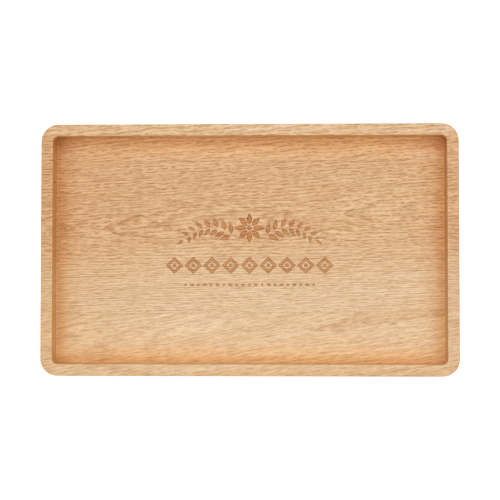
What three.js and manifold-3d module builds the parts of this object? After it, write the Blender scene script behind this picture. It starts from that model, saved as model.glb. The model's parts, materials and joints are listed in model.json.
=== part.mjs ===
// A shallow serving tray routed out of an edge-glued beech panel.
//
// The panel is three staves, glued edge to edge. A rounded rectangle is cut from it, a flat
// recess is routed into its upper face, and the edges are eased. The glue in each joint is a
// thin film that follows the section of the tray, so it is modelled as a solid of its own.
//
// Millimetres, +Z up. +X runs along the tray and the grain, +Y across it, towards the rear.
// The origin is the centre of the underside.

import * as THREE from 'three';
import { mergeVertices } from 'three/addons/utils/BufferGeometryUtils.js';
import Module from 'manifold-3d';

const wasm = await Module();
wasm.setup();

// ---------------------------------------------------------------- driving dimensions

const LENGTH = 290;
const WIDTH = 175;
const THICKNESS = 20;
const OUTER_RADIUS = 12;

const RIM_WIDTH = 8.2;
const RECESS_DEPTH = 13;
const RECESS_RADIUS = OUTER_RADIUS - RIM_WIDTH;

const OUTER_ARRIS = 1.0;      // rounding of the outer edges, above and below
const RECESS_ARRIS = 0.3;     // easing of the rim's inner edge
const FOOT_FILLET = 1.0;      // where the recess wall meets its floor

// Each joint runs almost along X. It is given by its Y at the left and at the right end.
const REAR_JOINT = { left: 62.8, right: 63.5 };
const FRONT_JOINT = { left: -45.5, right: -42.4 };

const GLUE_FILM = 0.2;        // thickness of the cured glue
const GLUE_CLEARANCE = 0.05;  // on each side of the film, so that the solids never overlap
const GLUE_SINK = 0.15;       // the film stops this far below every sanded surface

const ARC_SEGMENTS = 10;      // per quarter circle of an outline
const EDGE_SEGMENTS = 3;      // per quarter circle of an eased edge

const BEYOND = 10;            // how far a cutting solid runs past what it cuts

const BEECH = { color: 0xd9a878, roughness: 0.62, metalness: 0 };
const GLUE = { color: 0x9c6a3f, roughness: 0.5, metalness: 0 };

// ---------------------------------------------------------------- solids

function toSolid(geometry) {
  geometry.deleteAttribute('normal');
  geometry.deleteAttribute('uv');
  const merged = mergeVertices(geometry, 1e-4);
  return new wasm.Manifold(new wasm.Mesh({
    numProp: 3,
    vertProperties: new Float32Array(merged.attributes.position.array),
    triVerts: new Uint32Array(merged.index.array),
  }));
}

function toMesh(solid, name, finish) {
  const { vertProperties, triVerts } = solid.getMesh();
  const geometry = new THREE.BufferGeometry();
  geometry.setAttribute('position', new THREE.BufferAttribute(vertProperties, 3));
  geometry.setIndex(new THREE.BufferAttribute(triVerts, 1));
  geometry.computeVertexNormals();
  const mesh = new THREE.Mesh(geometry, new THREE.MeshStandardMaterial(finish));
  mesh.name = name;
  return mesh;
}

// ---------------------------------------------------------------- outlines

function roundedRectangle(length, width, radius) {
  const x = length / 2;
  const y = width / 2;
  const quarter = Math.PI / 2;
  const outline = new THREE.Shape();
  outline.moveTo(x, -y + radius);
  outline.absarc(x - radius, y - radius, radius, 0, quarter);
  outline.absarc(-x + radius, y - radius, radius, quarter, 2 * quarter);
  outline.absarc(-x + radius, -y + radius, radius, 2 * quarter, 3 * quarter);
  outline.absarc(x - radius, -y + radius, radius, 3 * quarter, 4 * quarter);
  return outline;
}

// A strip of the panel between two near-straight lines that run along X.
function stripBetween(near, far) {
  const left = -LENGTH / 2 - BEYOND;
  const right = LENGTH / 2 + BEYOND;
  const at = (line, x) => line.left + (line.right - line.left) * (x / LENGTH + 0.5);
  return new THREE.Shape([
    new THREE.Vector2(left, at(near, left)),
    new THREE.Vector2(right, at(near, right)),
    new THREE.Vector2(right, at(far, right)),
    new THREE.Vector2(left, at(far, left)),
  ]);
}

function shifted(line, distance) {
  return { left: line.left + distance, right: line.right + distance };
}

// ---------------------------------------------------------------- the routed panel

// An outline extruded from `bottom` to `top`, with rounded edges of size `ease`.
function easedPrism(length, width, radius, bottom, top, ease, segments) {
  const outline = roundedRectangle(length - 2 * ease, width - 2 * ease, radius - ease);
  const geometry = new THREE.ExtrudeGeometry(outline, {
    depth: top - bottom - 2 * ease,
    curveSegments: ARC_SEGMENTS,
    bevelEnabled: true,
    bevelThickness: ease,
    bevelSize: ease,
    bevelSegments: segments,
  });
  geometry.translate(0, 0, bottom + ease);
  return toSolid(geometry);
}

// The tray as one body. `sink` draws every surface inwards by that much.
function routedPanel(sink) {
  const floor = THICKNESS - RECESS_DEPTH - sink;
  const recessLength = LENGTH - 2 * RIM_WIDTH + 2 * sink;
  const recessWidth = WIDTH - 2 * RIM_WIDTH + 2 * sink;
  const recessRadius = RECESS_RADIUS + sink;

  const blank = easedPrism(
    LENGTH - 2 * sink, WIDTH - 2 * sink, OUTER_RADIUS - sink,
    sink, THICKNESS - sink, OUTER_ARRIS, EDGE_SEGMENTS);
  const recess = easedPrism(
    recessLength, recessWidth, recessRadius,
    floor, THICKNESS + BEYOND, FOOT_FILLET, EDGE_SEGMENTS);
  // A one-step bevel widens upwards from the wall to the top of the rim: that is the easing.
  const easing = easedPrism(
    recessLength + 2 * RECESS_ARRIS, recessWidth + 2 * RECESS_ARRIS,
    recessRadius + RECESS_ARRIS,
    THICKNESS - sink - RECESS_ARRIS, THICKNESS + BEYOND, RECESS_ARRIS, 1);
  return blank.subtract(recess).subtract(easing);
}

function cutStrip(panel, near, far) {
  const geometry = new THREE.ExtrudeGeometry(stripBetween(near, far), {
    depth: THICKNESS + 2 * BEYOND,
    bevelEnabled: false,
  });
  geometry.translate(0, 0, -BEYOND);
  return panel.intersect(toSolid(geometry));
}

// ---------------------------------------------------------------- pieces

const panel = routedPanel(0);
const sunkPanel = routedPanel(GLUE_SINK);

const jointHalf = GLUE_FILM / 2 + GLUE_CLEARANCE;
const pastRear = { left: WIDTH, right: WIDTH };
const pastFront = { left: -WIDTH, right: -WIDTH };

function stave(name, near, far) {
  return toMesh(cutStrip(panel, near, far), name, BEECH);
}

function glueLine(name, joint) {
  const near = shifted(joint, -GLUE_FILM / 2);
  const far = shifted(joint, GLUE_FILM / 2);
  return toMesh(cutStrip(sunkPanel, near, far), name, GLUE);
}

const group = new THREE.Group();
group.add(
  stave('rear_stave', shifted(REAR_JOINT, jointHalf), pastRear),
  glueLine('rear_glue_line', REAR_JOINT),
  stave('centre_stave', shifted(FRONT_JOINT, jointHalf), shifted(REAR_JOINT, -jointHalf)),
  glueLine('front_glue_line', FRONT_JOINT),
  stave('front_stave', pastFront, shifted(FRONT_JOINT, -jointHalf)),
);

export default group;
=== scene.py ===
# %% [markdown]
# # A routed beech serving tray
# The real tray starts as three beech staves glued edge to edge. A router cuts the rounded outline
# and sinks a flat recess, the edges are eased with sandpaper, and a laser burns an ornament into
# the floor. This lesson follows the same order: panel, joints, ornament, timber, then the studio.

# %% Load the fixed frame
import json
import math

import bmesh
import bpy
from mathutils import Matrix, Vector


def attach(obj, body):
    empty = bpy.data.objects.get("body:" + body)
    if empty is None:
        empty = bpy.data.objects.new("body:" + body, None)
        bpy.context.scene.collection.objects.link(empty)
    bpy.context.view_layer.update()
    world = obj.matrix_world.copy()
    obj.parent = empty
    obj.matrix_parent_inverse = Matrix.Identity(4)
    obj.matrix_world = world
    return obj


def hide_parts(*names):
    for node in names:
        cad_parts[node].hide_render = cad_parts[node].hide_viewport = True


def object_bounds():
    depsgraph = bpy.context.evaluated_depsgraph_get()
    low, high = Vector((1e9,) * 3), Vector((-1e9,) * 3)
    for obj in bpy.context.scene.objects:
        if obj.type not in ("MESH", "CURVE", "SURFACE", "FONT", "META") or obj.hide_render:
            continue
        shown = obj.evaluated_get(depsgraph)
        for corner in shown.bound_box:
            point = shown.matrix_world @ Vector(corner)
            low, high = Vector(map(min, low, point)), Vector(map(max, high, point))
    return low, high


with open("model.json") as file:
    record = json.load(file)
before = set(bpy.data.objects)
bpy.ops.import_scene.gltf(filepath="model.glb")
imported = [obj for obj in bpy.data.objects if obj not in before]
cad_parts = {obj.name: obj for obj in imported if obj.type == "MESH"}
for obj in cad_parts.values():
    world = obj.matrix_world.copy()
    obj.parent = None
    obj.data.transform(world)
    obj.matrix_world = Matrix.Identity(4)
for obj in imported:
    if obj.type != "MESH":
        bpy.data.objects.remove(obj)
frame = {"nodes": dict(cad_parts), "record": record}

MM = 0.001
cad_low, cad_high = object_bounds()
print("nodes:", sorted(frame["nodes"]))
print("box in mm:", [round(side / MM, 2) for side in cad_high - cad_low])

# %% [markdown]
# ## Sizes
# Overall size and the level of the recess floor are read from the frame, so the visual pieces can't
# drift away from it. The rim and the small radii are the maker's own settings: a cutter radius for
# the corners, and a light pass of sandpaper for the edges.

# %% Sizes of the tray
mounts = {mount["name"]: Vector(mount["pos_m"]) for mount in frame["record"]["mounts"]}
length, width, thickness = cad_high - cad_low
rim_level = mounts["rim_top"].z
floor_level = mounts["recess_floor"].z

RIM_WIDTH = 8.2 * MM
OUTER_RADIUS = 12 * MM
OUTER_ARRIS = 1.0 * MM
RECESS_ARRIS = 0.3 * MM
FOOT_FILLET = 1.0 * MM
print("recess depth in mm:", round((rim_level - floor_level) / MM, 2))


# %% [markdown]
# ## Where the staves meet
# The joints aren't quite parallel to the edges, because a board is rarely trimmed exactly along its
# glue lines. Each joint is measured on the glue film in the frame: its middle at both ends.

# %% Measure the joints
def joint_ends(node):
    """The middle of a glue film, at its left and at its right end, as two points on the plan."""
    points = [vertex.co for vertex in frame["nodes"][node].data.vertices]
    ends = []
    for x in (min(p.x for p in points), max(p.x for p in points)):
        across = [p.y for p in points if abs(p.x - x) < 0.01 * MM]
        ends.append(Vector((x, (min(across) + max(across)) / 2, 0)))
    return ends


rear_joint = joint_ends("rear_glue_line")
front_joint = joint_ends("front_glue_line")
for name, joint in (("rear", rear_joint), ("front", front_joint)):
    print(name, "joint, y in mm:", [round(end.y / MM, 2) for end in joint])


# %% [markdown]
# ## The section of the tray
# The tray could be carved with booleans, but a routed tray has one section all the way round, so it
# is built as rings: each ring is the rounded outline, drawn in by an inset and lifted to a level.
# True quarter rounds then come for free, and each ring can carry a value that a material reads,
# such as the amount of painted shade on an edge and of painted light on a wall.

# %% Section points
EDGE_STEPS = 6
FADE = 0.9 * MM  # how far the painted edge shade reaches onto the flat beside it
# What a ring carries: how much painted edge shade, painted wall shade and painted wall light it
# takes.
LAYERS = ("painted_edge_shade", "painted_wall_shade", "painted_wall_light")
PLAIN = (0, 0, 0)
SHADED_EDGE = (1, 0, 0)
WALL = (0, 0.2, 1)
FOOT = (0, 0.85, 0.2)
# How much painted shade the floor takes, by distance from the foot of the wall.
PAINTED_SHADE_REACH = ((1 * MM, 1.0), (3 * MM, 0.88), (6 * MM, 0.58), (10 * MM, 0.28), (18 * MM, 0.0))


def quarter_round(inset, level, radius, start, end):
    """Points of a quarter circle in the section, as (inset, level), from one angle to the other."""
    for step in range(EDGE_STEPS + 1):
        angle = math.radians(start + (end - start) * step / EDGE_STEPS)
        yield inset + radius * math.cos(angle), level + radius * math.sin(angle)


def section(sink):
    """(inset, level, look) for each ring, from the underside to the recess floor."""
    outer = OUTER_ARRIS - sink
    inner = RECESS_ARRIS - sink
    foot = FOOT_FILLET + sink
    low, high = OUTER_ARRIS, rim_level - OUTER_ARRIS
    lip_inset, lip_level = RIM_WIDTH - RECESS_ARRIS, rim_level - RECESS_ARRIS
    foot_inset, foot_level = RIM_WIDTH + FOOT_FILLET, floor_level + FOOT_FILLET
    rings = [(OUTER_ARRIS + FADE, sink, PLAIN)]
    rings += [(i, z, SHADED_EDGE) for i, z in quarter_round(OUTER_ARRIS, low, outer, -90, -180)]
    rings += [(sink, low + FADE, PLAIN), (sink, high - FADE, PLAIN)]
    rings += [(i, z, SHADED_EDGE) for i, z in quarter_round(OUTER_ARRIS, high, outer, 180, 90)]
    rings += [(OUTER_ARRIS + FADE, rim_level - sink, PLAIN)]
    rings += [(lip_inset - FADE, rim_level - sink, PLAIN)]
    rings += [(i, z, SHADED_EDGE) for i, z in quarter_round(lip_inset, lip_level, inner, 90, 0)]
    rings += [(RIM_WIDTH + sink, lip_level - FADE, WALL)]
    rings += [(RIM_WIDTH + sink, foot_level + FADE, WALL)]
    rings += [(i, z, FOOT) for i, z in quarter_round(foot_inset, foot_level, foot, 180, 270)]
    for away, shade_amount in PAINTED_SHADE_REACH:
        rings += [(foot_inset + away, floor_level - sink, (0, shade_amount, 0))]
    return rings


print("rings in the section:", len(section(0)))

# %% Rings into a closed panel
CORNER_STEPS = 24
TIGHTEST_CORNER = 2.0 * MM


def outline(inset):
    """The tray's rounded outline, drawn in by an inset, as plan points going anticlockwise."""
    radius = max(OUTER_RADIUS - inset, TIGHTEST_CORNER)
    points = []
    for turn, (side_x, side_y) in enumerate(((1, 1), (-1, 1), (-1, -1), (1, -1))):
        centre_x = side_x * (length / 2 - inset - radius)
        centre_y = side_y * (width / 2 - inset - radius)
        for step in range(CORNER_STEPS + 1):
            angle = math.pi / 2 * (turn + step / CORNER_STEPS)
            x = centre_x + radius * math.cos(angle)
            points.append((x, centre_y + radius * math.sin(angle)))
    return points


def panel(sink=0.0):
    """The whole tray as one closed bmesh. A sink draws every surface inwards by that much."""
    tray = bmesh.new()
    layers = [tray.verts.layers.float.new(name) for name in LAYERS]
    rings = []
    for inset, level, look in section(sink):
        ring = [tray.verts.new((x, y, level)) for x, y in outline(inset)]
        for vertex in ring:
            for layer, value in zip(layers, look):
                vertex[layer] = value
        rings.append(ring)
    for below, above in zip(rings, rings[1:]):
        for i in range(len(below)):
            j = (i + 1) % len(below)
            tray.faces.new((below[i], below[j], above[j], above[i]))
    tray.faces.new(list(reversed(rings[0])))
    tray.faces.new(rings[-1])
    bmesh.ops.recalc_face_normals(tray, faces=tray.faces)
    return tray


test_panel = panel()
print("panel volume in cubic cm:", round(test_panel.calc_volume() * 1e6, 1))
test_panel.free()


# %% [markdown]
# ## Sawing the panel into staves
# A bisect keeps one side of a plane and a fill closes the sawn face, so each stave is a closed solid
# with its real joint faces. The glue is a film between them, sunk a hair below the sanded surface,
# which is how a fine joint line shows on the real tray.

# %% Staves and glue films
FILM = 0.2 * MM
FILM_SINK = 0.02 * MM
JOINT_GAP = 0.21 * MM
SHARP_ANGLE = math.radians(35)


def saw(tray, joint, side, shift):
    """Cuts the tray along a joint moved by shift, and keeps its rear (side 1) or front (-1)."""
    left, right = joint
    along = (right - left).normalized()
    across = Vector((-along.y, along.x, 0))
    geometry = tray.verts[:] + tray.edges[:] + tray.faces[:]
    cut = bmesh.ops.bisect_plane(
        tray, geom=geometry, plane_co=left + across * shift, plane_no=across * -side,
        clear_outer=True)
    edges = [part for part in cut["geom_cut"] if isinstance(part, bmesh.types.BMEdge)]
    bmesh.ops.edgeloop_fill(tray, edges=edges)


def as_object(tray, name):
    """Turns a bmesh into an object of the scene, with its faces turned outwards."""
    bmesh.ops.recalc_face_normals(tray, faces=tray.faces)
    mesh = bpy.data.meshes.new(name)
    tray.to_mesh(mesh)
    tray.free()
    piece = bpy.data.objects.new(name, mesh)
    bpy.context.scene.collection.objects.link(piece)
    return piece


def stave(name, front=None, rear=None):
    """A stave behind the front joint and in front of the rear joint, where it has them."""
    tray = panel()
    if front:
        saw(tray, front, 1, JOINT_GAP / 2)
    if rear:
        saw(tray, rear, -1, -JOINT_GAP / 2)
    return as_object(tray, name)


def glue_film(name, joint):
    """The thin slice of the panel between two saw cuts, a hair smaller than the staves."""
    tray = panel(FILM_SINK)
    saw(tray, joint, 1, -FILM / 2)
    saw(tray, joint, -1, FILM / 2)
    return as_object(tray, name)


rear_stave = stave("rear_beech_stave", front=rear_joint)
centre_stave = stave("centre_beech_stave", front=front_joint, rear=rear_joint)
front_stave = stave("front_beech_stave", rear=front_joint)
rear_glue = glue_film("rear_glue_film", rear_joint)
front_glue = glue_film("front_glue_film", front_joint)
for piece in (rear_stave, centre_stave, front_stave, rear_glue, front_glue):
    print(piece.name, "faces:", len(piece.data.polygons))

# %% [markdown]
# ## Stamps for the burnt ornament
# The laser removes about a third of a millimetre. That is real relief, so it is cut, not painted.
# Each motif is a small closed stamp whose walls lean, because the beam is narrower at its bottom.
# The motifs are plain classics: a leaf, a lozenge frame, a disc.

# %% Stamp outlines
BURN_DEPTH = 0.30 * MM
BURN_LIFT = 0.20 * MM   # the stamp stands this far above the floor, so that the cut is clean
WALL_LEAN = 0.30 * MM   # how far a wall leans in over the burn's depth


def leaf_outline(base, long, wide, steps=9):
    """An almond leaf along +X that starts at base, as a closed list of points."""
    upper = []
    for step in range(steps + 1):
        t = step / steps
        upper.append((base + long * t, wide / 2 * math.sin(math.pi * t ** 0.85)))
    lower = [(x, -y) for x, y in upper[1:-1]]
    return upper[::-1] + lower


def disc_outline(radius, steps=20):
    return [(radius * math.cos(math.tau * i / steps), radius * math.sin(math.tau * i / steps))
            for i in range(steps)]


def lozenge_outline(long, tall):
    return [(long / 2, 0), (0, tall / 2), (-long / 2, 0), (0, -tall / 2)]


def leaned(points, lean):
    """The outline drawn in by about lean on every side, towards its middle."""
    middle_x = (max(x for x, y in points) + min(x for x, y in points)) / 2
    middle_y = (max(y for x, y in points) + min(y for x, y in points)) / 2
    half_x = max(x for x, y in points) - middle_x
    half_y = max(y for x, y in points) - middle_y
    return [(middle_x + (x - middle_x) * (1 - lean / half_x),
             middle_y + (y - middle_y) * (1 - lean / half_y)) for x, y in points]


def stamp(name, points, hole=None):
    """A closed prism with leaning walls, and leaning the other way round a hole."""
    solid = bmesh.new()
    lift_lean = WALL_LEAN * BURN_LIFT / BURN_DEPTH
    loops = []
    for ring, way in ((points, 1), (hole, -1)):
        if ring is None:
            continue
        top = [solid.verts.new((x, y, BURN_LIFT)) for x, y in leaned(ring, -way * lift_lean)]
        low = [solid.verts.new((x, y, -BURN_DEPTH)) for x, y in leaned(ring, way * WALL_LEAN)]
        loops.append((top, low))
        for i in range(len(top)):
            j = (i + 1) % len(top)
            solid.faces.new((top[i], top[j], low[j], low[i]))
    if hole is None:
        top, low = loops[0]
        solid.faces.new(top)
        solid.faces.new(low)
    else:
        (top, low), (hole_top, hole_low) = loops
        for outer, inner in ((top, hole_top), (low, hole_low)):
            for i in range(len(outer)):
                j = (i + 1) % len(outer)
                solid.faces.new((outer[i], outer[j], inner[j], inner[i]))
    return as_object(solid, name)


# %% [markdown]
# ## Laying the stamps out
# Repeats are Geometry Nodes work: one stamp goes in, and a row, a ring or a leafy stem comes out.
# The trees are built here with named inputs, so a spacing or a count is one number to change.

# %% Helpers for building node trees
def plug(tree, socket, value):
    """Wires a socket to another socket, or sets its plain value."""
    if isinstance(value, bpy.types.NodeSocket):
        tree.links.new(value, socket)
    else:
        socket.default_value = value


def node(tree, kind, inputs=None, **settings):
    """Adds a node, sets its properties, then wires or sets its inputs by name or number."""
    made = tree.nodes.new(kind)
    for name, value in settings.items():
        setattr(made, name, value)
    for name, value in (inputs or {}).items():
        plug(tree, made.inputs[name], value)
    return made


def layout_tree(name, sockets):
    """A Geometry Nodes tree with a geometry input, the named sockets and a geometry output."""
    tree = bpy.data.node_groups.new(name, "GeometryNodeTree")
    tree.interface.new_socket("Stamp", in_out="INPUT", socket_type="NodeSocketGeometry")
    for label, kind in sockets:
        tree.interface.new_socket(label, in_out="INPUT", socket_type=kind)
    tree.interface.new_socket("Layout", in_out="OUTPUT", socket_type="NodeSocketGeometry")
    return tree, tree.nodes.new("NodeGroupInput").outputs


def close_layout(tree, geometry, material):
    """Ends a layout tree: instances become real faces, and they get their material."""
    real = node(tree, "GeometryNodeRealizeInstances", {"Geometry": geometry})
    dressed = node(tree, "GeometryNodeSetMaterial",
                   {"Geometry": real.outputs[0], "Material": material})
    tree.links.new(dressed.outputs[0], tree.nodes.new("NodeGroupOutput").inputs[0])
    print(tree.name, "nodes:", len(tree.nodes))


# %% A row of stamps
row_tree, given = layout_tree("Row of stamps", (
    ("Count", "NodeSocketInt"), ("Start", "NodeSocketVector"), ("Step", "NodeSocketVector"),
    ("Material", "NodeSocketMaterial")))
line = node(row_tree, "GeometryNodeMeshLine", {
    "Count": given["Count"], "Start Location": given["Start"], "Offset": given["Step"]},
    mode="OFFSET")
placed = node(row_tree, "GeometryNodeInstanceOnPoints", {
    "Points": line.outputs[0], "Instance": given["Stamp"]})
close_layout(row_tree, placed.outputs[0], given["Material"])

# %% A ring of stamps that point outwards
ring_tree, given = layout_tree("Ring of stamps", (
    ("Count", "NodeSocketInt"), ("Centre", "NodeSocketVector"), ("Material", "NodeSocketMaterial")))
circle = node(ring_tree, "GeometryNodeMeshCircle", {"Vertices": given["Count"], "Radius": 1.0})
outwards = node(ring_tree, "FunctionNodeAlignRotationToVector", {
    "Vector": node(ring_tree, "GeometryNodeInputPosition").outputs[0]}, axis="X")
gathered = node(ring_tree, "GeometryNodeInstanceOnPoints", {
    "Points": circle.outputs[0], "Instance": given["Stamp"], "Rotation": outwards.outputs[0]})
# The circle is one metre wide on purpose, so that directions are exact: the stamps then go home.
homed = node(ring_tree, "GeometryNodeTranslateInstances", {
    "Instances": gathered.outputs[0], "Translation": (-1.0, 0.0, 0.0), "Local Space": True})
moved = node(ring_tree, "GeometryNodeTranslateInstances", {
    "Instances": homed.outputs[0], "Translation": given["Centre"], "Local Space": False})
close_layout(ring_tree, moved.outputs[0], given["Material"])

# %% Leaves on both sides of a curved stem
stem_tree, given = layout_tree("Leafy stem", (
    ("Root", "NodeSocketVector"), ("Bend", "NodeSocketVector"), ("Tip", "NodeSocketVector"),
    ("Pairs", "NodeSocketInt"), ("Lean", "NodeSocketFloat"), ("Tip Scale", "NodeSocketFloat"),
    ("Material", "NodeSocketMaterial")))
stem = node(stem_tree, "GeometryNodeCurveQuadraticBezier", {
    "Resolution": 32, "Start": given["Root"], "Middle": given["Bend"], "End": given["Tip"]})
knots = node(stem_tree, "GeometryNodeResampleCurve", {
    "Curve": stem.outputs[0], "Count": given["Pairs"]})
along = node(stem_tree, "FunctionNodeAlignRotationToVector", {
    "Vector": node(stem_tree, "GeometryNodeInputTangent").outputs[0]}, axis="X")
factor = node(stem_tree, "GeometryNodeSplineParameter").outputs["Factor"]
size = node(stem_tree, "ShaderNodeMapRange", {"Value": factor, "To Min": 1.0,
                                              "To Max": given["Tip Scale"]}).outputs[0]
last = node(stem_tree, "GeometryNodeCurveEndpointSelection", {"Start Size": 0, "End Size": 1})
not_last = node(stem_tree, "FunctionNodeBooleanMath", {0: last.outputs[0]}, operation="NOT")
foliage = node(stem_tree, "GeometryNodeJoinGeometry")
for way in (1.0, -1.0, 0.0):
    lean = node(stem_tree, "ShaderNodeMath", {0: given["Lean"], 1: way}, operation="MULTIPLY")
    turn = node(stem_tree, "ShaderNodeCombineXYZ", {"Z": lean.outputs[0]})
    leaning = node(stem_tree, "FunctionNodeRotateRotation", {
        "Rotation": along.outputs[0], "Rotate By": turn.outputs[0]}, rotation_space="LOCAL")
    leaves = node(stem_tree, "GeometryNodeInstanceOnPoints", {
        "Points": knots.outputs[0], "Instance": given["Stamp"],
        "Selection": last.outputs[0] if way == 0 else not_last.outputs[0],
        "Rotation": leaning.outputs[0], "Scale": size})
    stem_tree.links.new(leaves.outputs[0], foliage.inputs[0])
close_layout(stem_tree, foliage.outputs[0], given["Material"])


# %% Turning a layout into plain faces
def run_tree(piece, tree, values):
    """Puts a tree on a stamp, sets its inputs by identifier, and keeps the plain result."""
    modifier = piece.modifiers.new(tree.name, "NODES")
    modifier.node_group = tree
    for item in tree.interface.items_tree:
        if item.item_type == "SOCKET" and item.in_out == "INPUT" and item.name in values:
            modifier[item.identifier] = values[item.name]
    return freeze(piece)


def freeze(piece):
    """Replaces an object's mesh by what its modifiers make, and removes the modifiers."""
    bpy.context.view_layer.update()
    graph = bpy.context.evaluated_depsgraph_get()
    mesh = bpy.data.meshes.new_from_object(piece.evaluated_get(graph), depsgraph=graph)
    piece.modifiers.clear()
    piece.data = mesh
    mesh.name = piece.name
    return piece


# %% [markdown]
# ## The ornament
# It fills the middle of the floor the way a stamped device does on such a tray: a rosette between
# two leafy sprigs, a bold band of lozenges below, and a fine row of beads under that. It is a
# design of its own, with no lettering and no device of any maker.

# %% Lay out the ornament on the recess floor
ROSETTE_CENTRE = Vector((0, 15.6 * MM, floor_level))
SPRIG_ROOT = (12.5 * MM, 10.6 * MM)
SPRIG_BEND = (30 * MM, 22.5 * MM)
SPRIG_TIP = (46.5 * MM, 7.5 * MM)
BAND_Y = -10.7 * MM
BAND_PITCH = 13.2 * MM
BAND_COUNT = 9
BEAD_Y = -24.3 * MM
BEAD_PITCH = 9.0 * MM
BEAD_COUNT = 11

burnt = bpy.data.materials.new("burnt_beech")


def row(name, points, count, pitch, y, hole=None):
    """Stamps in a straight row that is centred on the tray's length."""
    start = (-(count - 1) * pitch / 2, y, floor_level)
    return run_tree(stamp(name, points, hole), row_tree, {
        "Count": count, "Start": start, "Step": (pitch, 0.0, 0.0), "Material": burnt})


def sprig(name, way):
    """A leafy sprig to the right (way 1) or, mirrored, to the left (-1) of the rosette."""
    root, bend, tip = ((way * x, y, floor_level) for x, y in (SPRIG_ROOT, SPRIG_BEND, SPRIG_TIP))
    leaf = stamp(name, leaf_outline(0.9 * MM, 8.0 * MM, 3.3 * MM))
    return run_tree(leaf, stem_tree, {
        "Root": root, "Bend": bend, "Tip": tip, "Pairs": 8, "Lean": math.radians(52),
        "Tip Scale": 0.62, "Material": burnt})


motifs = [
    run_tree(stamp("petals", leaf_outline(2.4 * MM, 8.2 * MM, 3.7 * MM)), ring_tree, {
        "Count": 8, "Centre": ROSETTE_CENTRE, "Material": burnt}),
    row("eye", disc_outline(1.5 * MM), 1, 0.0, ROSETTE_CENTRE.y),
    sprig("left_sprig", -1),
    sprig("right_sprig", 1),
    row("lozenges", lozenge_outline(12.4 * MM, 12.0 * MM), BAND_COUNT, BAND_PITCH, BAND_Y,
        hole=lozenge_outline(6.6 * MM, 6.4 * MM)),
    row("lozenge_eyes", disc_outline(1.3 * MM), BAND_COUNT, BAND_PITCH, BAND_Y),
    row("beads", disc_outline(0.75 * MM, 12), BEAD_COUNT, BEAD_PITCH, BEAD_Y),
    row("diamonds", lozenge_outline(3.4 * MM, 1.9 * MM), BEAD_COUNT - 1, BEAD_PITCH, BEAD_Y),
]
print("motif faces:", {motif.name: len(motif.data.polygons) for motif in motifs})

# %% Cut the ornament into the centre stave
ornament = bmesh.new()
for motif in motifs:
    ornament.from_mesh(motif.data)
    bpy.data.objects.remove(motif)
cutter = as_object(ornament, "ornament_cutter")
burn = centre_stave.modifiers.new("Burn", "BOOLEAN")
burn.operation = "DIFFERENCE"
burn.solver = "EXACT"
burn.object = cutter
freeze(centre_stave)
bpy.data.objects.remove(cutter)
print("centre stave faces after the burn:", len(centre_stave.data.polygons))

# %% [markdown]
# ## Soft edges, flat faces
# Flat faces should shade flat and the small rounds should shade smooth. Weighting each normal by
# face area does that without extra edge loops, and edges sharper than 35 degrees stay crisp.


# %% Finish the normals
def finish_normals(piece):
    """Smooth shading with area weighted normals, kept crisp at the sharp edges."""
    piece.data.shade_smooth()
    piece.data.set_sharp_from_angle(angle=SHARP_ANGLE)
    weighted = piece.modifiers.new("Weighted", "WEIGHTED_NORMAL")
    weighted.mode = "FACE_AREA"
    weighted.weight = 100
    weighted.keep_sharp = True
    freeze(piece)


pieces = {
    "rear_stave": rear_stave,
    "centre_stave": centre_stave,
    "front_stave": front_stave,
    "rear_glue_line": rear_glue,
    "front_glue_line": front_glue,
}
for piece in pieces.values():
    finish_normals(piece)
    print(piece.name, "corners:", len(piece.data.vertices))

# %% [markdown]
# ## Beech, as solid timber
# Wood isn't a picture wrapped round a shape. It is a solid with yearly rings round a pith, and every
# face just shows where it cuts them. So the figure is worked out in three dimensions: distance from
# the pith gives the rings, a slight cone makes the long pointed arches on a flat face, and the rays
# are thin sheets that run outwards from the pith, seen as short dashes on top and lines on an end.


# %% Small helpers for arithmetic on sockets
def calc(tree, operation, *values):
    """One Math node."""
    made = node(tree, "ShaderNodeMath", dict(enumerate(values)), operation=operation)
    return made.outputs[0]


def product(tree, first, *others):
    """Values multiplied from left to right."""
    for other in others:
        first = calc(tree, "MULTIPLY", first, other)
    return first


def join(tree, operation, first, second):
    """Two vectors added, subtracted or multiplied."""
    return node(tree, "ShaderNodeVectorMath", {0: first, 1: second}, operation=operation).outputs[0]


def scaled(tree, vector, factor):
    """A vector made longer or shorter by a factor."""
    return node(tree, "ShaderNodeVectorMath", {0: vector, "Scale": factor},
                operation="SCALE").outputs[0]


def stretch(tree, vector, x, y, z):
    """A vector divided by a grain size along each axis, in millimetres."""
    return join(tree, "MULTIPLY", vector, (1 / x, 1 / y, 1 / z))


def rise(tree, value, low, high, bottom=0.0, top=1.0):
    """Smoothly goes from bottom to top while value goes from low to high."""
    made = node(tree, "ShaderNodeMapRange", {
        "Value": value, "From Min": low, "From Max": high, "To Min": bottom, "To Max": top},
        interpolation_type="SMOOTHSTEP")
    return made.outputs[0]


def tint(tree, blend, factor, base, other):
    """A colour mixed with another one, or multiplied by it, as far as the factor says."""
    made = node(tree, "ShaderNodeMix", data_type="RGBA", blend_type=blend)
    plug(tree, made.inputs[0], factor)
    plug(tree, made.inputs[6], base)
    plug(tree, made.inputs[7], other)
    return made.outputs[2]


def shader_group(name, inputs, outputs):
    """A shader group with these sockets, and the ends to wire inside it."""
    tree = bpy.data.node_groups.new(name, "ShaderNodeTree")
    for label, kind, default in inputs:
        socket = tree.interface.new_socket(label, in_out="INPUT", socket_type=kind)
        if default is not None:
            socket.default_value = default
    for label, kind in outputs:
        tree.interface.new_socket(label, in_out="OUTPUT", socket_type=kind)
    return tree, tree.nodes.new("NodeGroupInput").outputs, tree.nodes.new("NodeGroupOutput")


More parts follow.
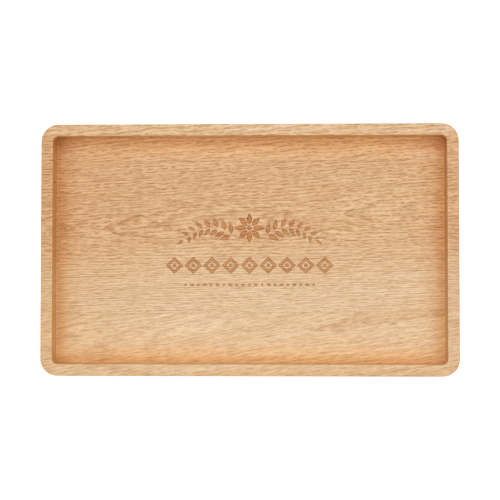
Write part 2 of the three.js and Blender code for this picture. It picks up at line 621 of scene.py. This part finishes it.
# %% The timber group: place and rings
timber, given, result = shader_group("Beech timber", (
    ("Place", "NodeSocketVector", None),
    ("Seed", "NodeSocketVector", None),
    ("Ring Spacing", "NodeSocketFloat", 1.2),
    ("Taper", "NodeSocketFloat", 0.03),
    ("Wander", "NodeSocketFloat", 6.0),
    ("Swelling", "NodeSocketVector", None),
    ("Push", "NodeSocketFloat", 0.0),
    ("Ring Depth", "NodeSocketFloat", 0.5),
    ("Line Depth", "NodeSocketFloat", 0.5),
    ("Fleck Depth", "NodeSocketFloat", 0.5),
    ("Fibre Depth", "NodeSocketFloat", 0.5),
    ("Across", "NodeSocketFloat", 0.0),
    ("Blush From", "NodeSocketFloat", -1.0),
    ("Blush To", "NodeSocketFloat", 1.0),
    ("Front Blush", "NodeSocketFloat", 0.5),
    ("Rear Blush", "NodeSocketFloat", 0.5),
    ("Pale", "NodeSocketColor", (0.7, 0.5, 0.3, 1)),
    ("Rose", "NodeSocketColor", (0.6, 0.4, 0.25, 1)),
    ("Late Wood", "NodeSocketColor", (0.45, 0.25, 0.12, 1)),
    ("Fleck", "NodeSocketColor", (0.4, 0.2, 0.1, 1)),
    ("End Grain", "NodeSocketFloat", 0.0),
), (
    ("Colour", "NodeSocketColor"), ("Roughness", "NodeSocketFloat"),
    ("Height", "NodeSocketFloat")))

in_mm = scaled(timber, given["Place"], 1 / MM)
seeded = join(timber, "ADD", in_mm, given["Seed"])


def noise(vector, detail=2.0, output="Fac"):
    """Noise in the timber, between about -0.5 and 0.5."""
    made = node(timber, "ShaderNodeTexNoise", {
        "Vector": vector, "Scale": 1.0, "Detail": detail, "Roughness": 0.55})
    if output == "Color":
        return join(timber, "SUBTRACT", made.outputs["Color"], (0.5, 0.5, 0.5))
    return calc(timber, "SUBTRACT", made.outputs["Fac"], 0.5)


drift = noise(stretch(timber, seeded, 120, 48, 48), 1.5, "Color")
drift = scaled(timber, drift, given["Wander"])
# A branch inside the log lifts the grain over itself, so lines arch round the swelling.
from_swelling = join(timber, "SUBTRACT", in_mm, given["Swelling"])
nearness = node(timber, "ShaderNodeVectorMath", {0: stretch(timber, from_swelling, 30, 13, 40)},
                operation="LENGTH").outputs["Value"]
push = product(timber, rise(timber, nearness, 0.0, 1.0, 1.0, 0.0), given["Push"])
drift = join(timber, "SUBTRACT", drift,
             node(timber, "ShaderNodeCombineXYZ", {"Y": push}).outputs[0])
wandered = join(timber, "ADD", in_mm, drift)
axes = node(timber, "ShaderNodeSeparateXYZ", {0: wandered}).outputs
radius = calc(timber, "SQRT", calc(timber, "ADD", product(timber, axes[1], axes[1]),
                                   product(timber, axes[2], axes[2])))
grown = join(timber, "ADD", wandered, given["Seed"])
# Slow ripples and a quick waver make the rings, and later the rays, a little wavy.
ripple = product(timber, noise(stretch(timber, seeded, 38, 7, 7), 2.0), 0.9)
waver = noise(stretch(timber, grown, 8, 6, 6), 1.0)
cone = calc(timber, "SUBTRACT", radius, product(timber, axes[0], given["Taper"]))
cone = calc(timber, "ADD", cone, calc(timber, "ADD", ripple, product(timber, waver, 1.1)))
years = calc(timber, "DIVIDE", cone, given["Ring Spacing"])
uneven = node(timber, "ShaderNodeCombineXYZ", {"X": product(timber, years, 0.21)})
years = calc(timber, "ADD", years, product(timber, noise(uneven.outputs[0], 1.0), 1.2))
season = calc(timber, "FRACT", years)
year_luck = node(timber, "ShaderNodeTexWhiteNoise", {"W": calc(timber, "FLOOR", years)},
                 noise_dimensions="1D").outputs["Value"]
# A year darkens towards its end, breaks off sharply, and some years are stronger than others.
harvest = product(timber, rise(timber, season, 0.92, 1.0, 1.0, 0.0),
                  calc(timber, "ADD", 0.35, product(timber, year_luck, 0.65)))
late = product(timber, rise(timber, season, 0.3, 0.85), harvest)
last_cells = product(timber, rise(timber, season, 0.60, 0.86), harvest)
print("timber nodes for the rings:", len(timber.nodes))

# %% [markdown]
# ## Rays and fibres
# The rays are what tells beech from other pale woods. On a flat face each one is cut across and
# shows as a brown dash of a few millimetres. Two patterns make them: spindles scattered one to a
# cell, and wavy rows broken into lengths, because the grain between them pushes the rays into line.
# Much finer fibres and slow changes along the board come from stretched noise.

# %% The timber group: rays and fibres
RAY_DEPTH = 2.2    # from one scattered ray to the next one below it, in millimetres
ROW_PITCH = 2.3    # from row to row
ROW_SWAY = 3.0     # how many pitches the rows drift where the grain is unruly
FIBRE_CAP = 0.08   # fibres darken the wood more than they lighten it

wave = node(timber, "ShaderNodeCombineXYZ", {
    "Y": product(timber, waver, 1.6), "Z": product(timber, waver, 1.2)}).outputs[0]
waved = join(timber, "ADD", grown, wave)


def rays(long, thick, reach, shift):
    """Spindles of ray tissue, one in each cell of a stretched, not quite random pattern."""
    moved = join(timber, "ADD", stretch(timber, waved, long, thick, RAY_DEPTH), shift)
    cells = node(timber, "ShaderNodeTexVoronoi", {
        "Vector": moved, "Scale": 1.0, "Randomness": 0.8})
    spindle = rise(timber, cells.outputs["Distance"], reach * 0.55, reach, 1.0, 0.0)
    luck = node(timber, "ShaderNodeSeparateColor", {0: cells.outputs["Color"]}).outputs[0]
    return product(timber, spindle, rise(timber, luck, 0.0, 0.7, 0.35, 1.0))


scattered = rays(9.0, 1.5, 0.30, (0.0, 0.0, 0.0))
for shift in ((0.5, 0.5, 0.3), (0.25, 0.75, 0.6)):
    scattered = calc(timber, "MAXIMUM", scattered, rays(8.0, 1.3, 0.30, shift))
sway = noise(stretch(timber, grown, 45, 14, 14), 1.0)
sideways = node(timber, "ShaderNodeSeparateXYZ", {0: waved}).outputs[1]
row_count = calc(timber, "ADD", calc(timber, "DIVIDE", sideways, ROW_PITCH),
                 product(timber, sway, ROW_SWAY))
rows = rise(timber, calc(timber, "PINGPONG", row_count, 0.5), 0.09, 0.22, 1.0, 0.0)
lengths = rise(timber, noise(stretch(timber, waved, 4.2, 1.0, 1.0), 1.0), -0.06, 0.05)
rows = product(timber, rows, product(timber, lengths, 0.9))
flecks = calc(timber, "MAXIMUM", product(timber, scattered, 0.6), rows)
fibre = noise(stretch(timber, waved, 9, 0.7, 0.7), 2.0)
fibre = calc(timber, "MINIMUM", fibre, FIBRE_CAP)
broken = rise(timber, noise(stretch(timber, waved, 5, 1.1, 1.1), 1.0), -0.12, 0.08)
last_cells = product(timber, last_cells, broken)
streak = noise(stretch(timber, waved, 60, 2.2, 2.2), 1.5)
patch = noise(stretch(timber, seeded, 150, 26, 26), 2.0)
mottle = noise(stretch(timber, waved, 16, 3.2, 3.2), 1.0)
band = noise(stretch(timber, waved, 130, 7, 7), 1.5)
print("timber nodes with rays and fibres:", len(timber.nodes))

# %% [markdown]
# ## From figure to colour
# A board runs from pale wood to a rosier one, and that blush changes across it and in slow bands.
# The rings, the last cells of each year and the rays are then laid over it, each in its own brown.
# Fibres change only the brightness. Open end grain drinks more oil and looks darker, and a ray
# stands a little lower than the wood round it and shines a little more.

# %% The timber group: colour, gloss and relief
END_STAIN = (0.92, 0.87, 0.82, 1)
MATT = 0.56  # roughness of sanded and oiled wood between the rays

across = given["Across"]
blush = rise(timber, across, given["Blush From"], given["Blush To"],
             given["Front Blush"], given["Rear Blush"])
for change, amount in ((patch, 0.6), (band, 0.9), (mottle, 0.3)):
    blush = calc(timber, "ADD", blush, product(timber, change, amount))
blush = node(timber, "ShaderNodeClamp", {"Value": blush}).outputs[0]
dense = rise(timber, across, -22.0, 22.0, 0.75, 1.45)  # the flecks thin out towards the front
colour = tint(timber, "MIX", blush, given["Pale"], given["Rose"])
for cover, brown in ((product(timber, late, given["Ring Depth"]), given["Late Wood"]),
                     (product(timber, last_cells, given["Line Depth"]), given["Fleck"]),
                     (product(timber, flecks, given["Fleck Depth"], dense), given["Fleck"])):
    colour = tint(timber, "MIX", cover, colour, brown)
grain = calc(timber, "ADD", product(timber, fibre, given["Fibre Depth"]),
             product(timber, streak, 0.12))
colour = node(timber, "ShaderNodeHueSaturation", {
    "Color": colour, "Hue": calc(timber, "ADD", 0.5, product(timber, mottle, 0.015)),
    "Value": calc(timber, "ADD", 1.0, grain),
    "Saturation": calc(timber, "SUBTRACT", 1.0, product(timber, grain, 0.7))}).outputs[0]
colour = tint(timber, "MULTIPLY", given["End Grain"], colour, END_STAIN)
gloss = calc(timber, "ADD", MATT, product(timber, fibre, 0.3))
gloss = calc(timber, "SUBTRACT", gloss, product(timber, flecks, 0.10))
relief = calc(timber, "SUBTRACT", product(timber, fibre, 0.8), product(timber, flecks, 0.5))
relief = calc(timber, "SUBTRACT", relief, product(timber, late, 0.25))
plug(timber, result.inputs["Colour"], colour)
plug(timber, result.inputs["Roughness"], gloss)
plug(timber, result.inputs["Height"], relief)
print("timber nodes in all:", len(timber.nodes))

# %% [markdown]
# ## Stains and painted light
# A finished tray isn't evenly coloured, and this group paints some light and shade into it as well.
# A warm painted shade lies in the angle under the walls and most of all in the corners, hands darken
# the ends where it is carried, the walls are painted lighter, and the right wall and the rounded
# edges are painted a little darker. These are gentle tints over the timber: the values that the
# rings of the section carry say where, and so does the place on the tray.

# %% The stains and painted light group
stains_and_painted_light, given, result = shader_group("Stains and painted light", (
    ("Colour", "NodeSocketColor", (0.7, 0.5, 0.3, 1)),
    ("Place", "NodeSocketVector", None),
    ("Painted_edge_shade", "NodeSocketFloat", 0.0),
    ("Painted_wall_shade", "NodeSocketFloat", 0.0),
    ("Painted_wall_light", "NodeSocketFloat", 0.0),
), (("Colour", "NodeSocketColor"),))
spot = scaled(stains_and_painted_light, given["Place"], 1 / MM)
x, y, z = node(stains_and_painted_light, "ShaderNodeSeparateXYZ", {0: spot}).outputs
# Noise that breaks up the painted shade in the corners.
corner_shade_noise = node(stains_and_painted_light, "ShaderNodeTexNoise", {
    "Vector": stretch(stains_and_painted_light, spot, 9, 5, 5), "Scale": 1.0, "Detail": 3.0}).outputs["Fac"]
recess_x = (length / 2 - RIM_WIDTH) / MM
recess_y = (width / 2 - RIM_WIDTH) / MM
recess_z = rim_level / MM
left_end = calc(stains_and_painted_light, "ADD", rise(stains_and_painted_light, x, -40.0, -112.0, 0.0, 0.5),
                rise(stains_and_painted_light, x, -recess_x - 0.4, -recess_x - 1.4, 0.0, 0.5))
right_rim = rise(stains_and_painted_light, x, recess_x + 0.4, recess_x + 1.4)
# Painted shade: the right wall is made darker than the other walls.
right_wall_shade = product(stains_and_painted_light, given["Painted_wall_light"], rise(stains_and_painted_light, x, recess_x - 6, recess_x - 1))
# Painted shade in the corners: the two rear corners take the most, and the near left one about half
# as much.
corner = product(stains_and_painted_light, rise(stains_and_painted_light, calc(stains_and_painted_light, "ABSOLUTE", x), recess_x - 24, recess_x),
                 rise(stains_and_painted_light, y, recess_y - 15, recess_y - 1))
near_corner_shade = product(stains_and_painted_light, rise(stains_and_painted_light, x, 22 - recess_x, -recess_x, 0.0, 0.5),
                      rise(stains_and_painted_light, y, 14 - recess_y, 1 - recess_y))
below_rim = rise(stains_and_painted_light, z, recess_z - 3, recess_z - 6)
corner = product(stains_and_painted_light, calc(stains_and_painted_light, "ADD", corner, near_corner_shade), below_rim,
                 rise(stains_and_painted_light, corner_shade_noise, 0.2, 0.6, 0.55, 1.0))
# Two real tints for the ends come first, then painted shade and painted light.
STAINS_AND_PAINTED_LIGHT = (
    (left_end, (0.92, 0.84, 0.73, 1)),
    (right_rim, (0.95, 0.90, 0.87, 1)),
    # Painted shade, warm, along the foot of the walls.
    (given["Painted_wall_shade"], (1.03, 0.88, 0.62, 1)),
    # Painted shade in the corners.
    (corner, (0.82, 0.62, 0.48, 1)),
    # Painted light: the walls are made lighter.
    (given["Painted_wall_light"], (1.25, 1.13, 0.90, 1)),
    # Painted shade on the right wall.
    (right_wall_shade, (0.86, 0.79, 0.80, 1)),
    # Painted shade along the rounded edges.
    (given["Painted_edge_shade"], (1.0, 0.98, 0.95, 1)),
)
colour = given["Colour"]
for mask, multiplier in STAINS_AND_PAINTED_LIGHT:
    colour = tint(stains_and_painted_light, "MULTIPLY", mask, colour, multiplier)
plug(stains_and_painted_light, result.inputs["Colour"], colour)
print("stains:", len(STAINS_AND_PAINTED_LIGHT))

# %% [markdown]
# ## One log, three boards
# The staves come from different boards, so each has its own pith, seed, cone and warmth. A Mapping
# node moves the pattern so that its origin lies on the pith, which is well below the tray, and turns
# it, because the grain of a sawn board hardly ever runs quite true.


# %% Materials from the timber group
def srgb(red, green, blue):
    """A colour as a screen shows it, from 0 to 255, made into the linear values that nodes use."""
    def linear(value):
        value /= 255
        return value / 12.92 if value <= 0.04045 else ((value + 0.055) / 1.055) ** 2.4
    return (linear(red), linear(green), linear(blue), 1.0)


TONES = {
    "Pale": srgb(223, 194, 156),
    "Rose": srgb(215, 174, 129),
    "Late Wood": srgb(190, 136, 78),
    "Fleck": srgb(162, 103, 57),
}


GRAIN_RELIEF = 0.06 * MM
OIL_IOR = 1.45


def timber_material(material, pith, turn_deg, figure, char=None):
    """Beech with its pith at that point. Charred wood is the same figure under a brown tint."""
    material.use_nodes = True
    tree = material.node_tree
    shader = tree.nodes["Principled BSDF"]
    place = node(tree, "ShaderNodeTexCoord").outputs["Object"]
    turn = math.radians(turn_deg)
    # A Texture mapping moves the pattern itself, so the pith can be given where it really is.
    centred = node(tree, "ShaderNodeMapping", {
        "Vector": place, "Location": pith, "Rotation": (0, 0, turn)}, vector_type="TEXTURE")
    # End grain is what faces along the tray.
    facing = node(tree, "ShaderNodeSeparateXYZ", {
        0: node(tree, "ShaderNodeNewGeometry").outputs["Normal"]}).outputs[0]
    end = rise(tree, calc(tree, "ABSOLUTE", facing), 0.35, 0.95)
    wood = node(tree, "ShaderNodeGroup", node_tree=timber)
    for name, value in {**TONES, **figure}.items():
        wood.inputs[name].default_value = value
    plug(tree, wood.inputs["Place"], centred.outputs[0])
    plug(tree, wood.inputs["End Grain"], end)
    board = node(tree, "ShaderNodeSeparateXYZ", {0: place}).outputs
    plug(tree, wood.inputs["Across"], calc(tree, "DIVIDE", board[1], MM))
    with_stains_and_painted_light = node(tree, "ShaderNodeGroup", {"Colour": wood.outputs["Colour"], "Place": place},
                node_tree=stains_and_painted_light)
    # The painted edge shade, painted wall shade and painted wall light of the section reach the
    # colour here.
    for layer in LAYERS:
        mask = node(tree, "ShaderNodeAttribute", attribute_name=layer).outputs["Fac"]
        plug(tree, with_stains_and_painted_light.inputs[layer.capitalize()], mask)
    colour = with_stains_and_painted_light.outputs["Colour"]
    if char:
        colour = tint(tree, "MULTIPLY", 1.0, colour, char)
    plug(tree, shader.inputs["Base Color"], colour)
    plug(tree, shader.inputs["Roughness"], wood.outputs["Roughness"])
    bump = node(tree, "ShaderNodeBump", {
        "Height": wood.outputs["Height"], "Distance": GRAIN_RELIEF, "Strength": 0.7})
    plug(tree, shader.inputs["Normal"], bump.outputs[0])
    shader.inputs["IOR"].default_value = OIL_IOR
    return material


CENTRE_FIGURE = {
    "Seed": (12.0, 40.0, 7.0), "Ring Spacing": 1.22, "Taper": 0.0285, "Wander": 3.0,
    "Swelling": (172.0, -7.7, 32.0), "Push": 3.0,
    "Ring Depth": 0.50, "Line Depth": 0.65, "Fleck Depth": 0.52, "Fibre Depth": 0.9,
    "Blush From": -32.0, "Blush To": 14.0, "Front Blush": 0.15, "Rear Blush": 1.0,
}
CENTRE_PITH = (-121 * MM, 14.6 * MM, -25 * MM)
CENTRE_TURN = 3.1
# Charred timber is multiplied by these, on the floor of the burn and on its walls.
CHAR = (0.77, 0.53, 0.31, 1)
CHAR_WALL = (0.38, 0.22, 0.14, 1)

centre_beech = timber_material(
    bpy.data.materials.new("centre_beech"), CENTRE_PITH, CENTRE_TURN, CENTRE_FIGURE)
timber_material(burnt, CENTRE_PITH, CENTRE_TURN, CENTRE_FIGURE, CHAR)
burnt_wall = timber_material(
    bpy.data.materials.new("burnt_wall"), CENTRE_PITH, CENTRE_TURN, CENTRE_FIGURE, CHAR_WALL)
rear_beech = timber_material(
    bpy.data.materials.new("rear_beech"), (-160 * MM, 40 * MM, -38 * MM), 3.4, {
        "Seed": (300.0, 11.0, 52.0), "Ring Spacing": 2.1, "Taper": 0.02, "Wander": 6.0,
        "Ring Depth": 0.3, "Line Depth": 0.45, "Fleck Depth": 0.48,
        "Fibre Depth": 0.9, "Blush From": 75.0, "Blush To": 83.0, "Front Blush": 0.95,
        "Rear Blush": 0.35})
front_beech = timber_material(
    bpy.data.materials.new("front_beech"), (-90 * MM, -72 * MM, -46 * MM), 9.0, {
        "Seed": (81.0, 230.0, 19.0), "Ring Spacing": 2.4, "Taper": 0.03, "Wander": 9.0,
        "Ring Depth": 0.25, "Line Depth": 0.25, "Fleck Depth": 0.5,
        "Fibre Depth": 0.9, "Blush From": -84.0, "Blush To": -76.0, "Front Blush": 0.65,
        "Rear Blush": 0.3})
print("boards:", [board.name for board in (rear_beech, centre_beech, front_beech)])


# %% The glue, a thin amber line
def glue_material():
    """Cured glue, slightly shiny and never quite even."""
    material = bpy.data.materials.new("cured_glue")
    material.use_nodes = True
    tree = material.node_tree
    shader = tree.nodes["Principled BSDF"]
    place = node(tree, "ShaderNodeTexCoord").outputs["Object"]
    beads = node(tree, "ShaderNodeTexNoise", {"Vector": place, "Scale": 420.0, "Detail": 3.0})
    colour = tint(tree, "MIX", rise(tree, beads.outputs["Fac"], 0.35, 0.7),
                  srgb(192, 146, 102), srgb(160, 110, 70))
    plug(tree, shader.inputs["Base Color"], colour)
    plug(tree, shader.inputs["Roughness"], calc(tree, "ADD", 0.3, calc(
        tree, "MULTIPLY", beads.outputs["Fac"], 0.3)))
    bump = node(tree, "ShaderNodeBump", {
        "Height": beads.outputs["Fac"], "Distance": 0.00004, "Strength": 0.5})
    plug(tree, shader.inputs["Normal"], bump.outputs[0])
    return material


# %% Dress the pieces
def dress(piece, *materials):
    """Gives a piece these materials and no others."""
    piece.data.materials.clear()
    for material in materials:
        piece.data.materials.append(material)


dress(rear_stave, rear_beech)
dress(centre_stave, centre_beech, burnt, burnt_wall)
dress(front_stave, front_beech)
cured_glue = glue_material()
dress(rear_glue, cured_glue)
dress(front_glue, cured_glue)

# The sawn faces of the joints stand upright, so only leaning and level faces can be burnt ones.
CLEARLY_BELOW = 0.01 * MM
burnt_faces = 0
for face in centre_stave.data.polygons:
    below = floor_level - face.center.z
    inside = CLEARLY_BELOW < below < BURN_DEPTH + CLEARLY_BELOW
    face.material_index = 0
    if inside and abs(face.normal.z) > 0.2:
        face.material_index = 1 if face.normal.z > 0.95 else 2
        burnt_faces += 1
print("burnt faces:", burnt_faces)

# %% Tie each piece to the frame
for name, piece in pieces.items():
    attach(piece, "root")
    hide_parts(name)
print("pieces tied to the frame:", len(pieces))

# %% [markdown]
# ## The studio
# The tray lies on a white light table and is seen from almost straight above. One wide softbox
# hangs over it, longer along the tray than across it, so the end walls of the recess throw wider,
# softer shade than the long ones. A narrow strip behind it lifts the front wall a little, and a
# pale surround fills in from the sides. The table glows more and more with distance, so that it
# runs into the white surround without a horizon.

# %% Camera
CAMERA_HEIGHT = 750 * MM
CAMERA_OFF_CENTRE = Vector((22.6 * MM, -23.1 * MM, CAMERA_HEIGHT))
AIM_OFF_CENTRE = Vector((0.73 * MM, -0.29 * MM, 0))
rim_centre = Vector((0, 0, rim_level))

lens = bpy.data.cameras.new("camera")
lens.lens = 78.15
lens.sensor_width = 36
camera = bpy.data.objects.new("camera", lens)
camera.location = rim_centre + CAMERA_OFF_CENTRE
ahead = (rim_centre + AIM_OFF_CENTRE - camera.location).normalized()
right = ahead.cross(Vector((0, 1, 0))).normalized()
upright = Matrix((right, right.cross(ahead), -ahead)).transposed()
camera.rotation_euler = upright.to_euler()
bpy.context.scene.collection.objects.link(camera)
bpy.context.scene.camera = camera
print("camera to rim in mm:", round(CAMERA_OFF_CENTRE.length / MM))

# %% Softbox and surround
LAMP_HEIGHT = 0.95


def panel_lamp(name, size, y, power):
    """A flat lamp that hangs level over the tray and shines straight down."""
    light = bpy.data.lights.new(name, "AREA")
    light.shape = "RECTANGLE"
    light.size, light.size_y = size
    light.energy = power
    lamp = bpy.data.objects.new(name, light)
    lamp.location = (0, y, LAMP_HEIGHT)
    bpy.context.scene.collection.objects.link(lamp)
    print(name, "metres:", size, "watts:", power)


panel_lamp("softbox", (3.4, 1.10), -0.03, 16.4)
panel_lamp("rear_strip", (3.4, 0.16), 0.60, 4.2)

world = bpy.data.worlds.new("surround")
bpy.context.scene.world = world
world.use_nodes = True
sky = world.node_tree.nodes["Background"]
sky.inputs["Color"].default_value = (1, 1, 1, 1)
sky.inputs["Strength"].default_value = 0.35
# The camera itself sees plain white behind the table.
seen = node(world.node_tree, "ShaderNodeBackground", {"Color": (1, 1, 1, 1), "Strength": 1.0})
choice = node(world.node_tree, "ShaderNodeMixShader", {
    0: node(world.node_tree, "ShaderNodeLightPath").outputs["Is Camera Ray"],
    1: sky.outputs[0], 2: seen.outputs[0]})
world_output = world.node_tree.nodes["World Output"]
world.node_tree.links.new(choice.outputs[0], world_output.inputs["Surface"])

# %% Light table
TABLE_RADIUS = 6.0
NEAR_GLOW, FAR_GLOW = 0.45, 1.0
GLOW_FROM, GLOW_TO = 0.5, 2.5  # metres from the tray
table_mesh = bmesh.new()
bmesh.ops.create_circle(table_mesh, cap_ends=True, segments=96, radius=TABLE_RADIUS)
table = as_object(table_mesh, "light_table")
table_white = bpy.data.materials.new("light_table")
table_white.use_nodes = True
table_tree = table_white.node_tree
table_shader = table_tree.nodes["Principled BSDF"]
table_shader.inputs["Base Color"].default_value = (0.92, 0.92, 0.92, 1)
table_shader.inputs["Roughness"].default_value = 0.9
table_shader.inputs["Emission Strength"].default_value = 1.0
from_tray = node(table_tree, "ShaderNodeVectorMath", {
    0: node(table_tree, "ShaderNodeTexCoord").outputs["Object"]}, operation="LENGTH")
glow = rise(table_tree, from_tray.outputs["Value"], GLOW_FROM, GLOW_TO, NEAR_GLOW, FAR_GLOW)
plug(table_tree, table_shader.inputs["Emission Color"], glow)
table.data.materials.append(table_white)
print("table radius in m:", TABLE_RADIUS)
bpy.context.scene.view_settings.view_transform = "Standard"
